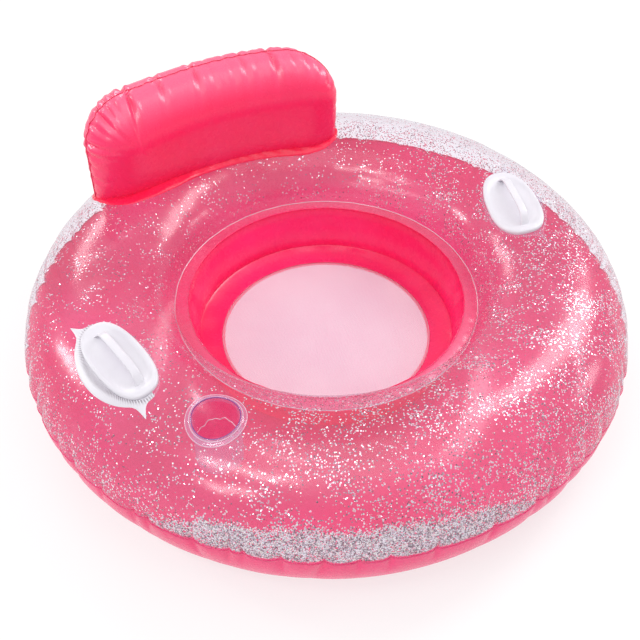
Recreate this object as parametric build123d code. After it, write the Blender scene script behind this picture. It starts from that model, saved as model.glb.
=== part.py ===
from build123d import *
import math
import os

# Inflatable pool float: a ring-shaped air chamber round a mesh-floored seat well,
# with a second, pillow-shaped air chamber as backrest, two moulded grab handles,
# a drink holder and one inflation valve for each chamber.
# Units mm, +Z up. The ring's axis is the Z axis and its underside lies on z = 0.
# +Y points from the seat to the backrest.

# ---- driving dimensions -------------------------------------------------
ring_outer_r = 590.0      # outer weld of the ring, inflated
crest_r = 430.0           # highest circle of the ring
ring_height = 288.0       # ground to crest
seam_z = 143.0            # height of the outer weld
film_t = 2.0              # modelled thickness of the ring's film

crease_r, crease_z = 298.0, 177.0      # where the top film meets the rim flange
rim_r, rim_z = 271.5, 181.0            # inner edge of the rim flange
well_r, well_z = 257.5, 87.0           # bottom weld of the seat well
flat_r1, flat_r2 = 400.0, 460.0        # annulus that rests on the ground

mesh_r = 223.0            # mesh disc, outer edge under the skirt
skirt_in_r = 213.0        # inner edge of the skirt
mesh_top = 75.0           # top face of the mesh disc
mesh_t = 0.8
skirt_t = 1.2
weld_ring_in_r = 207.0

handle_r_left, handle_a_left = 442.0, -172.0    # place of each handle (radius, angle)
handle_r_right, handle_a_right = 416.0, -8.0
grip_len, grip_wid = 194.0, 104.0      # oval plate of the handle
strap_len, strap_wid, strap_t = 146.0, 15.0, 4.0
strap_rise = 27.0                      # top of the strap over the ring's surface
patch_len, patch_wid = 268.0, 122.0    # pointed weld patch under the plate

cup_r_bore = 40.0
cup_wall = 1.2
cup_depth = 98.0
cup_flange_r = 51.0
cup_pos_r, cup_pos_a = 446.0, -144.0

rest_y = 437.0            # middle plane of the backrest
rest_x = -45.0            # its middle, a little towards the drink holder
rest_w = 536.0
rest_top = 482.0
rest_thick = 152.0
rest_film = 2.0
hinge_z = 288.0           # line about which the backrest flexes
lean_fwd, lean_back = 6.0, 12.0

valve_r_stem, valve_r_bore = 9.0, 6.0
valve_out, valve_in = 14.5, 8.0        # stem outside and inside the film
valve_recess = 11.0                    # travel when pushed in flush

os.makedirs("parts", exist_ok=True)
nodes = {}


# ---- section curves of the ring ------------------------------------------
def top_profile():
    """Outer face of the clear top film, from the outer weld over the crest to the crease."""
    a, b = ring_outer_r - crest_r, ring_height - seam_z
    pts = []
    for i in range(0, 13):
        f = math.radians(90.0 * i / 12)
        pts.append((crest_r + a * math.cos(f), seam_z + b * math.sin(f)))
    ai, bi = crest_r - crease_r, ring_height - crease_z
    p = 2.15
    for i in range(1, 13):
        f = math.radians(90.0 * i / 12)
        pts.append((crest_r - ai * math.sin(f) ** (2 / p),
                    crease_z + bi * math.cos(f) ** (2 / p) if i < 12 else crease_z))
    return pts


def offset_curve(pts, d):
    """Offset an ordered (r, z) curve to its right-hand side by d."""
    out = []
    n = len(pts)
    for i, (x, y) in enumerate(pts):
        x0, y0 = pts[max(i - 1, 0)]
        x1, y1 = pts[min(i + 1, n - 1)]
        if i == 0:
            tx, ty = 0.0, 1.0
        elif i == n - 1:
            tx, ty = 0.0, -1.0
        else:
            # parabola through three unevenly spaced points
            l0 = math.hypot(x - x0, y - y0)
            l1 = math.hypot(x1 - x, y1 - y)
            tx = ((x1 - x) / l1 * l0 + (x - x0) / l0 * l1) / (l0 + l1)
            ty = ((y1 - y) / l1 * l0 + (y - y0) / l0 * l1) / (l0 + l1)
        m = math.hypot(tx, ty)
        out.append((x + ty / m * d, y - tx / m * d))
    return out


TOP = top_profile()


def v3(p):
    return Vector(p[0], 0, p[1])


def spline3(pts, t0=None, t1=None):
    if t0 is not None:
        return Spline([v3(p) for p in pts], tangents=[v3(t0), v3(t1)])
    return Spline([v3(p) for p in pts])


def turned(edges, arc=360.0):
    return revolve(make_face(edges), axis=Axis.Z, revolution_arc=arc)


def sectors(edges, start, n=8):
    """The turned ring film as n equal sectors that butt together, the first edge at angle start."""
    one = turned(edges, 360.0 / n)
    return [Rot(0, 0, start + k * 360.0 / n) * one for k in range(n)]


def line3(p, q):
    return Line(v3(p), v3(q))


def band(d1, d2, r_lo, r_hi):
    """Ring-shaped solid that follows the top film, d1 to d2 outside its outer face."""
    lo = [p for p in offset_curve(TOP, d1)]
    hi = [p for p in offset_curve(TOP, d2)]
    keep = [i for i, p in enumerate(TOP) if r_lo <= p[0] <= r_hi]
    lo = [lo[i] for i in keep]
    hi = [hi[i] for i in keep]
    return turned(Spline([v3(p) for p in lo]) + line3(lo[-1], hi[-1])
                  + Spline([v3(p) for p in hi][::-1]) + line3(hi[0], lo[0]))


def surface_z(r):
    """Height of the ring's outer face over radius r, outside the crest."""
    a, b = ring_outer_r - crest_r, ring_height - seam_z
    if r >= crest_r:
        return seam_z + b * math.sqrt(max(0.0, 1 - ((r - crest_r) / a) ** 2))
    ai, bi = crest_r - crease_r, ring_height - crease_z
    p = 2.15
    s = min(1.0, (crest_r - r) / ai)
    return crease_z + bi * (1 - s ** p) ** (1 / p)


# ---- ring -----------------------------------------------------------------
inner = offset_curve(TOP, -film_t)
rim_under = (rim_r, rim_z - 1.6)
crease_under = (crease_r + film_t, crease_z - 1.9)
top_parts = sectors(
    spline3(TOP, (0, 1), (0, -1))
    + line3(TOP[-1], (rim_r, rim_z))
    + line3((rim_r, rim_z), rim_under)
    + line3(rim_under, crease_under)
    + line3(crease_under, inner[-1])
    + spline3(inner[::-1], (0, 1), (0, -1))
    + line3(inner[0], TOP[0]),
    22.5)

well = [rim_under, (rim_r + 0.6, 173.0), (268.0, 158.0), (259.5, 137.0), (254.6, 114.0), (well_r, well_z)]
chamber = [(rim_under[0] + 3.6, 177.4), (rim_r + 3.4, 172.6), (270.3, 158.6), (261.7, 137.4), (256.9, 113.6), (well_r + film_t, well_z)]
inner_wall = turned(
    spline3(well)
    + line3(well[-1], chamber[-1])
    + spline3(chamber[::-1])
    + line3(chamber[0], (crease_under[0], crease_under[1] - 2.0))
    + line3((crease_under[0], crease_under[1] - 2.0), crease_under)
    + line3(crease_under, rim_under)
)


def quarter(cx, cz, a, b, a0, a1, n=13):
    out = []
    for i in range(n):
        f = math.radians(a0 + (a1 - a0) * i / (n - 1))
        out.append((cx + a * math.cos(f), cz + b * math.sin(f)))
    return out


# outer quarter from the weld down to the ground, then inward, then up to the well
q1 = quarter(flat_r2, seam_z, ring_outer_r - flat_r2, seam_z, 0, -90)
q2 = quarter(flat_r1, well_z, flat_r1 - well_r, well_z, -90, -180)
q1i = quarter(flat_r2, seam_z, ring_outer_r - flat_r2 - film_t, seam_z - film_t, 0, -90)
q2i = quarter(flat_r1, well_z, flat_r1 - well_r - film_t, well_z - film_t, -90, -180)
bottom_parts = sectors(
    spline3(q1, (0, -1), (-1, 0)) + line3(q1[-1], q2[0]) + spline3(q2, (-1, 0), (0, 1))
    + line3(q2[-1], q2i[-1])
    + spline3(q2i[::-1], (0, -1), (1, 0)) + line3(q2i[0], q1i[-1]) + spline3(q1i[::-1], (1, 0), (0, 1))
    + line3(q1i[0], q1[0]),
    0.0)
bottom_skin = Compound(children=bottom_parts)

# ---- seat -------------------------------------------------------------------
def ring_of(points):
    return turned(Polyline([v3(p) for p in points + [points[0]]]))


seat_skirt = ring_of([(well_r - 0.1, well_z), (mesh_r + 1.0, mesh_top + skirt_t), (skirt_in_r, mesh_top + skirt_t),
                      (skirt_in_r, mesh_top), (mesh_r + 1.2, mesh_top), (well_r - 0.1, well_z - 1.3)])
seat_mesh = Pos(0, 0, mesh_top - mesh_t) * extrude(Circle(mesh_r), amount=mesh_t)
seat_weld_ring = ring_of([(weld_ring_in_r, mesh_top - mesh_t), (mesh_r, mesh_top - mesh_t),
                          (mesh_r, mesh_top - mesh_t - 1.2), (weld_ring_in_r, mesh_top - mesh_t - 1.2)])

# ---- loose glitter, a few pieces lying on the chamber's floor -----------------
flakes = []
for i in range(36):
    rr = 404.0 + 52.0 * ((i * 0.381966) % 1.0)
    an = i * 360.0 / 36 + 3.0 * math.sin(i * 2.1)
    f = extrude(RegularPolygon(radius=1.6, side_count=6), amount=0.4)
    flakes.append(Rot(0, 0, an) * Pos(rr, 0, film_t + 0.4) * Rot(0, 0, i * 17.0) * f)
glitter = Compound(children=flakes)

# ---- handles --------------------------------------------------------------------
band_patch = band(0.0, 1.5, 345, 560)
band_plate = band(1.5, 8.0, 345, 560)
band_dish = band(4.5, 9.0, 345, 560)
band_under = band(-30.0, 4.5, 345, 560)


def vesica(length, width):
    """Pointed oval."""
    h, w = length / 2, width / 2
    R = (h * h + w * w) / (2 * w)
    c1 = Pos(0, R - w) * Circle(R)
    c2 = Pos(0, -(R - w)) * Circle(R)
    return c1 & c2


def handle(rad, ang, side):
    place = Rot(0, 0, ang) * Pos(rad, 0, 0) * Rot(0, 0, 90)   # local x runs along the ring
    tall = 420.0
    patch = (place * extrude(vesica(patch_len, patch_wid) + Ellipse(grip_len / 2 + 6, grip_wid / 2 + 7), amount=tall)) & band_patch
    oval = place * extrude(Ellipse(grip_len / 2, grip_wid / 2), amount=tall)
    dish = place * extrude(Ellipse(grip_len / 2 - 9, grip_wid / 2 - 13), amount=tall)
    plate = (oval & band_plate) - (dish & band_dish)
    zs = surface_z(rad)
    h, t = strap_rise, strap_t
    L = strap_len / 2
    outer = [(-L, 0), (-L + 8, 12), (-L + 24, h - 2.5), (-L + 44, h), (L - 44, h), (L - 24, h - 2.5), (L - 8, 12), (L, 0)]
    inner_ = [(L - t - 1, 0), (L - 8 - t, 10.5), (L - 24 - 1.2, h - t - 3), (L - 44, h - t), (-L + 44, h - t),
              (-L + 24 + 1.2, h - t - 3), (-L + 8 + t, 10.5), (-L + t + 1, 0)]
    pts = outer + inner_
    prof = make_face(Polyline([Vector(p[0], 0, p[1] + zs) for p in pts + [pts[0]]]))
    strap = extrude(prof, amount=strap_wid / 2, dir=(0, 1, 0), both=True)
    strap = (place * strap) - band_under
    return patch, plate + strap


left_patch, left_grip = handle(handle_r_left, handle_a_left, -1)
right_patch, right_grip = handle(handle_r_right, handle_a_right, 1)

# ---- cup holder -------------------------------------------------------------------
ca = math.radians(cup_pos_a)
cup_x, cup_y = cup_pos_r * math.cos(ca), cup_pos_r * math.sin(ca)
cup_top = surface_z(cup_pos_r)
cup_floor = cup_top - cup_depth


def upright(r, z0, z1):
    return Pos(cup_x, cup_y, z0) * extrude(Circle(r), amount=z1 - z0)


band_skin = band(0.0, 2.0, 345, 560)
band_lip = band(0.0, 6.0, 345, 560)
band_over = band(0.0, 60.0, 345, 560)
cup_flange = ((upright(cup_flange_r, 150, 400) & band_skin) + (upright(cup_r_bore + 4.0, 150, 400) & band_lip)) - upright(cup_r_bore, 100, 420)
cup_sleeve = (upright(cup_r_bore + cup_wall, cup_floor, 330) - band_over) - upright(cup_r_bore, 100, 420)
cup_base = upright(cup_r_bore + cup_wall, cup_floor - 1.5, cup_floor)

# ---- valves ---------------------------------------------------------------------------
def valve(sink):
    """Valve on the local Z axis: the film's outer face is z = 0 and +Z points out of the chamber.
    sink lowers the flange on a curved film, so that it meets the edge of the film's hole."""
    g = 0.4
    flange = extrude(Circle(18.0), amount=1.2) - extrude(Circle(valve_r_stem + g), amount=1.2)
    flange = Pos(0, 0, -sink) * flange
    stem = Pos(0, 0, -valve_in) * extrude(Circle(valve_r_stem), amount=valve_in + valve_out)
    stem += Pos(0, 0, valve_out - 2.0) * extrude(Circle(11.5), amount=2.0)
    stem -= Pos(0, 0, -valve_in) * extrude(Circle(valve_r_bore), amount=valve_in + valve_out)
    flap = Pos(0, 0, -valve_in - 0.3 - 0.8) * extrude(Circle(7.6), amount=0.8)
    plug = Pos(0, 0, valve_out) * extrude(Circle(11.0), amount=2.6)
    plug += Pos(0, 0, valve_out - 9.0) * extrude(Circle(valve_r_bore - 0.05), amount=9.0)
    plug += Pos(11.6, 0, valve_out) * extrude(Rectangle(5.0, 7.0), amount=2.2)       # pull tab
    # tether: a thin hook beside the tab, from the plug's edge back to just clear of the stem's collar
    tether = Pos(0, 0, valve_out) * (
        make_tether()
    )
    return flange, stem, flap, plug, tether


def make_tether():
    # closed outline of the hook: out from the plug, down, and back in under it
    out = [(-11.0, 1.8), (-17.0, 1.8), (-17.0, -2.0), (-11.9, -2.0), (-11.9, -0.8), (-15.8, -0.8), (-15.8, 0.6), (-11.0, 0.6)]
    f = make_face(Polyline([Vector(x, 0, z) for x, z in out + [out[0]]]))
    return extrude(f, amount=2.5, dir=(0, 1, 0), both=True)


vf = math.radians(40.0)
va, vb = ring_outer_r - crest_r, ring_height - seam_z
vy, vz = crest_r + va * math.cos(vf), seam_z + vb * math.sin(vf)
ny, nz = math.cos(vf) / va, math.sin(vf) / vb
tilt = math.degrees(math.atan2(ny, nz))                 # from +Z towards +Y
ring_valve_at = Pos(0, vy, vz) * Rot(-tilt, 0, 0)
rest_valve_z = 372.0
rest_back_y = rest_y + rest_thick / 2
rest_valve_at = Pos(rest_x, rest_back_y, rest_valve_z) * Rot(-90, 0, 0)

rv = [ring_valve_at * s for s in valve(0.05)]
bv = [rest_valve_at * s for s in valve(0.0)]
ring_hole = ring_valve_at * (Pos(0, 0, -20) * extrude(Circle(valve_r_stem + 0.4), amount=40))
rest_hole = rest_valve_at * (Pos(0, 0, -20) * extrude(Circle(valve_r_stem + 0.4), amount=40))
top_parts = [(p - ring_hole - upright(cup_r_bore + cup_wall, 200, 400)).solids()[0] for p in top_parts]
top_skin = Compound(children=top_parts)

# ---- backrest --------------------------------------------------------------------------
def pillow(shrink):
    w, top, th = rest_w / 2 - shrink, rest_top - shrink, rest_thick - 2 * shrink
    face = Plane.XZ * make_face(Polyline([(-w, 235), (w, 235), (w, top), (-w, top), (-w, 235)]))
    b = Pos(rest_x, rest_y + th / 2, 0) * extrude(face, amount=th)
    b = fillet(b.edges().filter_by(Axis.Y).group_by(Axis.Z)[-1], 92.0 - shrink)
    ring_edges = [e for e in b.edges() if e.bounding_box().size.Y < 0.5 and e.bounding_box().max.Z > 300.0]
    b = fillet(ring_edges, 58.0 - shrink)
    return b


def clearance(gap):
    """The ring's upper half with a gap, at each angle the backrest can take, seen from the backrest."""
    a, b = ring_outer_r - crest_r + gap, ring_height - seam_z + gap
    sect = Pos(crest_r, 0, seam_z) * Rot(90, 0, 0) * make_face(Ellipse(a, b).wire())
    full = revolve(sect, axis=Axis.Z)
    cuts = []
    for ang in (-lean_fwd - 1.0, -lean_fwd / 2, 0.0, lean_back / 3, lean_back * 0.7, lean_back + 1.0):
        # leaning back by ang turns the pillow about -X, so the ring turns by ang about +X as seen from it
        cuts.append(Pos(0, rest_y, hinge_z) * Rot(ang, 0, 0) * Pos(0, -rest_y, -hinge_z) * full)
    return cuts


outer_p = pillow(0)
for c in clearance(4.5):
    outer_p = outer_p - c
inner_p = pillow(rest_film)
for c in clearance(4.5 + rest_film):
    inner_p = inner_p - c
if len(outer_p.solids()) > 1:
    outer_p = max(outer_p.solids(), key=lambda s: s.volume)
if len(inner_p.solids()) > 1:
    inner_p = max(inner_p.solids(), key=lambda s: s.volume)
shell_p = outer_p - inner_p - rest_hole
front_half = Pos(rest_x, rest_y - 200, 350) * Box(900, 400, 600)
back_half = Pos(rest_x, rest_y + 200, 350) * Box(900, 400, 600)
rest_front = shell_p & front_half
rest_rear = shell_p & back_half

# weld strip under the backrest, along which it bends
strip_blank = Pos(rest_x, rest_y, 300) * Box(482, 30, 200)
base_strip = strip_blank & band(0.0, 3.0, 345, 575)

# ---- write ---------------------------------------------------------------------------------
nodes.update({
    "ring_top_skin": top_skin, "ring_bottom_skin": bottom_skin, "ring_inner_wall": inner_wall,
    "glitter_flakes": glitter,
    "seat_skirt": seat_skirt, "seat_mesh": seat_mesh, "seat_weld_ring": seat_weld_ring,
    "left_handle_patch": left_patch, "left_handle_grip": left_grip,
    "right_handle_patch": right_patch, "right_handle_grip": right_grip,
    "cup_holder_flange": cup_flange, "cup_holder_sleeve": cup_sleeve, "cup_holder_base": cup_base,
    "ring_valve_flange": rv[0], "ring_valve_stem": rv[1], "ring_valve_flap": rv[2],
    "ring_valve_plug": rv[3], "ring_valve_tether": rv[4],
    "backrest_front_skin": rest_front, "backrest_rear_skin": rest_rear, "backrest_base_strip": base_strip,
    "backrest_valve_flange": bv[0], "backrest_valve_stem": bv[1], "backrest_valve_flap": bv[2],
    "backrest_valve_plug": bv[3], "backrest_valve_tether": bv[4],
})
for name, shape in nodes.items():
    export_step(shape, f"parts/{name}.step")
print("cup at", round(cup_x, 2), round(cup_y, 2), "top", round(cup_top, 2), "floor", round(cup_floor, 2))
print("ring valve at", round(vy, 3), round(vz, 3), "tilt", round(tilt, 3))
for rr in (handle_r_left, handle_r_right):
    print("surface at", rr, round(surface_z(rr), 2))
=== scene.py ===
import bpy
import math
import numpy as np
from mathutils import Vector, Matrix


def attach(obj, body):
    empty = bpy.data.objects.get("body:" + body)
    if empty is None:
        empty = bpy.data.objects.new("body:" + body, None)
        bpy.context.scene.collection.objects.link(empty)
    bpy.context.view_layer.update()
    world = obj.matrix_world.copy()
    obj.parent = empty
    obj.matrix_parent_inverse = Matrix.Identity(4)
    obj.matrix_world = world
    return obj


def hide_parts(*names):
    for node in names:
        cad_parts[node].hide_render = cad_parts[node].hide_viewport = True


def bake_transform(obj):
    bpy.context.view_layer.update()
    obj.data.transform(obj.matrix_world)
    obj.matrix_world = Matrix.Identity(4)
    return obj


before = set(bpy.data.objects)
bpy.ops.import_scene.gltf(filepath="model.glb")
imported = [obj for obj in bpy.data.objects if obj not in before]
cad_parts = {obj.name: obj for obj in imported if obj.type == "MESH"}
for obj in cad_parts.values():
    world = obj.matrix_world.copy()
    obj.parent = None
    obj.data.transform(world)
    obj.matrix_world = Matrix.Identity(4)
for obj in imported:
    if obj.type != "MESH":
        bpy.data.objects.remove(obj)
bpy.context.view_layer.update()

TAU = 2 * math.pi

# ------------------------------------------------------------------ camera
AZ, EL, DIST = math.radians(-30.0), math.radians(44.77), 2.067
TGT_X, TGT_Z = -0.0126, 0.1078
right = Vector((math.cos(AZ), math.sin(AZ), 0))
target = right * TGT_X + Vector((0, 0, TGT_Z))
back = Vector((math.sin(AZ) * math.cos(EL), -math.cos(AZ) * math.cos(EL), math.sin(EL)))
cam_data = bpy.data.cameras.new("camera")
cam_data.lens = 1018.0 / 640.0 * 36.0
cam_data.sensor_width = 36.0
cam = bpy.data.objects.new("camera", cam_data)
bpy.context.scene.collection.objects.link(cam)
cam.location = target + back * DIST
cam.rotation_mode = "QUATERNION"
cam.rotation_quaternion = (-back).to_track_quat("-Z", "Y")
bpy.context.scene.camera = cam

# ------------------------------------------------------------------ shape of the ring, as in the CAD (metres)
R_OUT, R_CR, Z_CR, Z_SEAM = 0.590, 0.430, 0.288, 0.143
CRE_R, CRE_Z = 0.298, 0.177
RIM_R, RIM_Z = 0.2715, 0.181
WELL_R, WELL_Z = 0.2575, 0.087
FLAT1, FLAT2 = 0.400, 0.460
PW = 2.15


def surf_z(r):
    """Height of the ring's upper face over radius r."""
    r = np.asarray(r, float)
    out = Z_SEAM + (Z_CR - Z_SEAM) * np.sqrt(np.clip(1 - ((r - R_CR) / (R_OUT - R_CR)) ** 2, 0, 1))
    s = np.clip((R_CR - r) / (R_CR - CRE_R), 0, 1)
    inn = CRE_Z + (Z_CR - CRE_Z) * (1 - s ** PW) ** (1 / PW)
    return np.where(r >= R_CR, out, inn)


def surf_n(x, y):
    """Upward unit normal of the ring's upper face over (x, y)."""
    x, y = np.asarray(x, float), np.asarray(y, float)
    r = np.hypot(x, y)
    h = 5e-4
    dz = (surf_z(r + h) - surf_z(r - h)) / (2 * h)
    n = np.stack([-dz * x / r, -dz * y / r, np.ones_like(r)], -1)
    return n / np.linalg.norm(n, axis=-1, keepdims=True)


def arclen(poly):
    return np.concatenate([[0], np.cumsum(np.hypot(*np.diff(poly, axis=0).T))])


def resample(poly, s):
    L = arclen(poly)
    return np.stack([np.interp(s, L, poly[:, 0]), np.interp(s, L, poly[:, 1])], 1)


def normals2(poly):
    """Right-hand normals of an ordered (r, z) curve."""
    t = np.gradient(poly, axis=0)
    t /= np.linalg.norm(t, axis=1, keepdims=True)
    return np.stack([t[:, 1], -t[:, 0]], 1)


f = np.linspace(0, math.pi / 2, 500)
dense_top = np.vstack([
    np.stack([R_CR + (R_OUT - R_CR) * np.cos(f), Z_SEAM + (Z_CR - Z_SEAM) * np.sin(f)], 1),
    np.stack([R_CR - (R_CR - CRE_R) * np.sin(f[1:]) ** (2 / PW),
              CRE_Z + (Z_CR - CRE_Z) * np.clip(np.cos(f[1:]), 0, 1) ** (2 / PW)], 1)])
S_TOP = arclen(dense_top)[-1]
dense_bot = np.vstack([
    np.stack([FLAT2 + (R_OUT - FLAT2) * np.cos(f), Z_SEAM - Z_SEAM * np.sin(f)], 1),
    np.stack([FLAT1 - (FLAT1 - WELL_R) * np.sin(f), WELL_Z - WELL_Z * np.cos(f)], 1)])
S_BOT = arclen(dense_bot)[-1]

rng = np.random.default_rng(11)


def smooth_noise(theta, s, seed, k_theta=(2, 9), k_s=(4, 22), n=14):
    """Gentle periodic waves over the ring, from a few sines."""
    g = np.random.default_rng(seed)
    out = np.zeros(np.broadcast(theta, s).shape)
    for _ in range(n):
        kt = g.integers(k_theta[0], k_theta[1] + 1)
        ks = g.uniform(*k_s)
        out = out + np.sin(kt * theta + ks * s * g.choice([-1, 1]) + g.uniform(0, TAU)) * g.uniform(0.4, 1.0)
    return out / math.sqrt(n)


# puckers of the outer weld, shared by the upper and the lower film
N_P = 58
pk_th = (np.arange(N_P) + rng.uniform(-0.30, 0.30, N_P)) * TAU / N_P
for deg_ in (199.0, 209.1, 217.9, 226.6, 232.7, 239.4, 244.8, 250.0, 257.4, 262.8, 268.0, 277.0, 286.1):
    pk_th[np.argmin(np.abs(pk_th - math.radians(deg_)))] = math.radians(deg_)
pk_a = rng.uniform(0.55, 1.0, N_P) * 0.0098
pk_lt = rng.uniform(0.040, 0.085, N_P)
pk_lb = rng.uniform(0.030, 0.060, N_P)
pk_slt = rng.uniform(-0.25, 0.25, N_P)
pk_slb = rng.uniform(-0.25, 0.25, N_P)
N_Q = 150
qk_th = (np.arange(N_Q) + rng.uniform(-0.42, 0.42, N_Q)) * TAU / N_Q
qk_a = rng.uniform(0.2, 1.0, N_Q) * 0.0016
qk_l = rng.uniform(0.012, 0.030, N_Q)


def wrap(a):
    return (a + math.pi) % TAU - math.pi


def weld_pucker(theta, s, lengths, slant):
    """Displacement along the outward normal near the outer weld, at distance s from it."""
    out = np.zeros(np.broadcast(theta, s).shape)
    for i in range(N_P):
        x = np.abs(wrap(theta - pk_th[i]) * R_OUT - slant[i] * s)
        out -= pk_a[i] * np.exp(-x / (0.0065 + 0.16 * s)) * np.exp(-(s / lengths[i]) ** 1.6)
    for i in range(N_Q):
        x = np.abs(wrap(theta - qk_th[i]) * R_OUT)
        out -= qk_a[i] * np.exp(-x / (0.0040 + 0.10 * s)) * np.exp(-(s / qk_l[i]) ** 1.5)
    return out + 0.0010 * np.exp(-(s / 0.05) ** 2)


# pleats along the inner weld
N_R = 84
rk_th = (np.arange(N_R) + rng.uniform(-0.35, 0.35, N_R)) * TAU / N_R
rk_a = rng.uniform(0.15, 1.0, N_R) * 0.0016
rk_l = rng.uniform(0.014, 0.045, N_R)


def rim_pucker(theta, d):
    out = np.zeros(np.broadcast(theta, d).shape)
    for i in range(N_R):
        x = np.abs(wrap(theta - rk_th[i]) * CRE_R)
        out -= rk_a[i] * np.exp(-x / (0.0030 + 0.12 * d)) * np.exp(-(d / rk_l[i]) ** 1.5)
    return out


def top_disp(theta, s):
    d = weld_pucker(theta, s, pk_lt, pk_slt)
    d = d + rim_pucker(theta, np.clip(S_TOP - s, 0, 1))
    fade = np.clip(s / 0.06, 0, 1) * np.clip((S_TOP - s) / 0.05, 0, 1)
    return d + 0.00095 * smooth_noise(theta, s, 3) * fade + 0.00035 * smooth_noise(theta, s, 4, (14, 40), (20, 60)) * fade


def bot_disp(theta, s):
    d = weld_pucker(theta, s, pk_lb, pk_slb)
    fade = np.clip(s / 0.04, 0, 1)
    off_ground = np.clip((0.13 - s) / 0.05, 0, 1)       # nothing moves where the film lies on the ground
    return d * np.clip((0.17 - s) / 0.04, 0, 1) + 0.0008 * smooth_noise(theta, s, 5) * fade * off_ground


# ------------------------------------------------------------------ mesh helpers
def new_mesh(name, verts, faces, smooth=True):
    me = bpy.data.meshes.new(name)
    me.from_pydata([tuple(map(float, v)) for v in verts], [], [tuple(map(int, q)) for q in faces])
    me.update()
    if smooth:
        me.polygons.foreach_set("use_smooth", [True] * len(me.polygons))
    ob = bpy.data.objects.new(name, me)
    bpy.context.scene.collection.objects.link(ob)
    return ob


def grid_faces(nu, nv, close_u=False, close_v=False, flip=False):
    iu = np.arange(nu if close_u else nu - 1)
    iv = np.arange(nv if close_v else nv - 1)
    a, b = np.meshgrid(iu, iv, indexing="ij")
    a, b = a.ravel(), b.ravel()
    a2, b2 = (a + 1) % nu, (b + 1) % nv
    q = np.stack([a * nv + b, a2 * nv + b, a2 * nv + b2, a * nv + b2], 1)
    return q[:, ::-1] if flip else q


def revolve_mesh(name, prof, n, disp=None, s=None, flip=False, nrm=None):
    """A surface of revolution from (r, z) rows, moved along its section normal by disp(theta, s)."""
    th = np.arange(n) * TAU / n
    nr = normals2(prof) if nrm is None else nrm
    T, S = np.meshgrid(th, s if s is not None else arclen(prof), indexing="ij")
    d = disp(T, S) if disp is not None else np.zeros_like(T)
    r = prof[None, :, 0] + nr[None, :, 0] * d
    z = prof[None, :, 1] + nr[None, :, 1] * d
    P = np.stack([r * np.cos(T), r * np.sin(T), z], -1)
    return P, grid_faces(n, len(prof), close_u=True, flip=flip)


# ------------------------------------------------------------------ materials
def nodes_of(name):
    m = bpy.data.materials.new(name)
    m.use_nodes = True
    nt = m.node_tree
    nt.nodes.clear()
    out = nt.nodes.new("ShaderNodeOutputMaterial")
    return m, nt, out


def N(nt, kind, **kw):
    n = nt.nodes.new(kind)
    for k, v in kw.items():
        setattr(n, k, v)
    return n


def noise(nt, scale, detail=3.0, rough=0.5, coords=None):
    t = N(nt, "ShaderNodeTexNoise")
    t.inputs["Scale"].default_value = scale
    t.inputs["Detail"].default_value = detail
    t.inputs["Roughness"].default_value = rough
    if coords is not None:
        nt.links.new(coords, t.inputs["Vector"])
    return t


def ramp(nt, fac, stops):
    r = N(nt, "ShaderNodeValToRGB")
    e = r.color_ramp.elements
    while len(e) < len(stops):
        e.new(0.5)
    for el, (p, c) in zip(e, stops):
        el.position = p
        el.color = (*c, 1.0) if len(c) == 3 else c
    nt.links.new(fac, r.inputs["Fac"])
    return r


def maprange(nt, v, lo, hi):
    m = N(nt, "ShaderNodeMapRange")
    m.inputs["To Min"].default_value = lo
    m.inputs["To Max"].default_value = hi
    nt.links.new(v, m.inputs["Value"])
    return m


def obj_coords(nt):
    return N(nt, "ShaderNodeTexCoord").outputs["Object"]


def bump(nt, height, strength, dist):
    b = N(nt, "ShaderNodeBump")
    b.inputs["Strength"].default_value = strength
    b.inputs["Distance"].default_value = dist
    nt.links.new(height, b.inputs["Height"])
    return b


def two_sided_fresnel(nt, normal, f0):
    """Reflectance f0 face on, rising to 1 at grazing angles, the same for both faces of a film."""
    lw = N(nt, "ShaderNodeLayerWeight")
    lw.inputs["Blend"].default_value = 0.5
    nt.links.new(normal, lw.inputs["Normal"])
    p5 = N(nt, "ShaderNodeMath", operation="POWER")
    nt.links.new(lw.outputs["Facing"], p5.inputs[0])
    p5.inputs[1].default_value = 4.2
    r = N(nt, "ShaderNodeMapRange")
    r.inputs["To Min"].default_value = f0
    r.inputs["To Max"].default_value = 0.62
    nt.links.new(p5.outputs[0], r.inputs["Value"])
    return r.outputs["Result"]


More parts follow.
